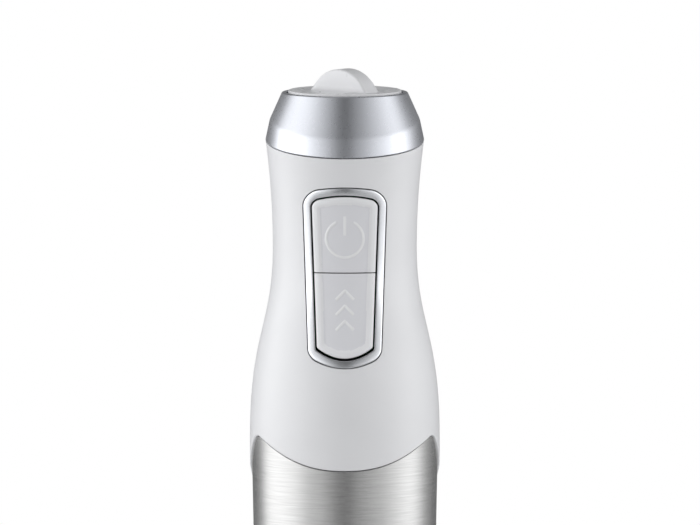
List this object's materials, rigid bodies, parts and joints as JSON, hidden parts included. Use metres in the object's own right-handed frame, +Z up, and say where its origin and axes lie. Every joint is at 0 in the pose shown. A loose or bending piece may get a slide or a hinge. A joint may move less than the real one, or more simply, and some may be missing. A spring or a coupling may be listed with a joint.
{
  "type": "immersion blender",
  "caption": "Hand-held stick blender: white waisted grip over a steel motor sleeve, two front keys, top speed dial, and a lift-off steel leg with a bell guard and cross blade.",
  "frame": {"origin": "on the floor under the drive axis, at the centre of the bell guard's rim", "axes": "+Z up the drive axis towards the dial, -Y the side with the two keys, +Y the side with the cord gland"},
  "size_m": [0.066, 0.066, 0.4],
  "materials": {
    "white_plastic": "satin white moulded",
    "button_plastic": "soft white moulded",
    "pad_plastic": "soft pale grey",
    "dial_plastic": "slightly translucent white",
    "satin_aluminium": "satin",
    "brushed_steel": "brushed round the body",
    "chrome": "satin chrome",
    "black_plastic": "matt",
    "grey_plastic": "matt",
    "rubber": "matt",
    "board": "glass-epoxy laminate",
    "lamination": "stacked electrical steel",
    "copper": "enamelled or bare copper",
    "carbon": "pressed carbon",
    "bronze": "plain",
    "plain_steel": "ground"
  },
  "bodies": {
    "leg": {"bell_guard": "brushed_steel", "blade_carrier": "white_plastic", "leg_tube": "brushed_steel", "leg_hub": "white_plastic", "upper_leg_bush": "bronze", "lower_leg_bush": "bronze", "shaft_seal": "rubber"},
    "motor_unit": {"front_housing": "white_plastic", "rear_housing": "white_plastic", "steel_sleeve": "brushed_steel", "motor_chassis": "grey_plastic", "top_collar": "satin_aluminium", "dial_seat": "black_plastic", "speed_potentiometer": "grey_plastic", "cord_gland": "white_plastic", "button_bezel": "chrome", "speed_switch": "black_plastic", "speed_button_spring": "plain_steel", "turbo_switch": "black_plastic", "turbo_button_spring": "plain_steel", "control_board": "board", "board_carrier": "grey_plastic", "filter_capacitor": "bronze", "lower_motor_bracket": "grey_plastic", "upper_motor_bracket": "grey_plastic", "lower_bearing": "plain_steel", "upper_bearing": "plain_steel", "stator_core": "lamination", "coupling_socket": "white_plastic", "field_coil_left": "copper", "field_coil_right": "copper", "latch_spring_left": "plain_steel", "latch_spring_right": "plain_steel", "carbon_brush_front": "carbon", "carbon_brush_rear": "carbon", "brush_holder_front": "bronze", "brush_holder_rear": "bronze", "brush_spring_front": "plain_steel", "brush_spring_rear": "plain_steel"},
    "rotor": {"motor_shaft": "plain_steel", "armature_core": "lamination", "armature_winding": "copper", "commutator": "copper", "cooling_fan": "black_plastic", "motor_dog": "black_plastic"},
    "blade_drive": {"drive_shaft": "plain_steel", "cross_blade": "plain_steel", "blade_nut": "plain_steel", "leg_coupling": "pad_plastic"},
    "dial": {"speed_dial": "dial_plastic", "potentiometer_shaft": "plain_steel"},
    "speed_key": {"speed_button": "button_plastic", "speed_button_pad": "pad_plastic"},
    "turbo_key": {"turbo_button": "button_plastic", "turbo_button_pad": "pad_plastic"},
    "release_left": {"release_button_left": "white_plastic", "latch_plate_left": "plain_steel"},
    "release_right": {"release_button_right": "white_plastic", "latch_plate_right": "plain_steel"}
  },
  "joints": [
    {"name": "lift_off", "type": "slide", "parent": "leg", "child": "motor_unit", "axis": [0, 0, 1], "range_m": [0, 0.045]},
    {"name": "rotor_spin", "type": "hinge", "parent": "motor_unit", "child": "rotor", "pos_m": [0, 0, 0.24], "axis": [0, 0, 1], "continuous": true},
    {"name": "blade_spin", "type": "hinge", "parent": "leg", "child": "blade_drive", "pos_m": [0, 0, 0.1], "axis": [0, 0, 1], "continuous": true},
    {"name": "dial_turn", "type": "hinge", "parent": "motor_unit", "child": "dial", "pos_m": [0, 0, 0.39], "axis": [0, 0, 1], "range_deg": [-120, 120]},
    {"name": "speed_press", "type": "slide", "parent": "motor_unit", "child": "speed_key", "axis": [0, 1, 0], "range_m": [0, 0.0018], "stiffness_N_per_m": 1200, "springref_m": -0.0015, "deforming": ["speed_button_spring"]},
    {"name": "turbo_press", "type": "slide", "parent": "motor_unit", "child": "turbo_key", "axis": [0, 1, 0], "range_m": [0, 0.0018], "stiffness_N_per_m": 1200, "springref_m": -0.0015, "deforming": ["turbo_button_spring"]},
    {"name": "release_left_press", "type": "slide", "parent": "motor_unit", "child": "release_left", "axis": [1, 0, 0], "range_m": [0, 0.0025], "stiffness_N_per_m": 1500, "springref_m": -0.002, "deforming": ["latch_spring_left"]},
    {"name": "release_right_press", "type": "slide", "parent": "motor_unit", "child": "release_right", "axis": [-1, 0, 0], "range_m": [0, 0.0025], "stiffness_N_per_m": 1500, "springref_m": -0.002, "deforming": ["latch_spring_right"]}
  ],
  "couplings": [
    {"joint": "blade_spin", "follows": "rotor_spin", "ratio": 1}
  ]
}
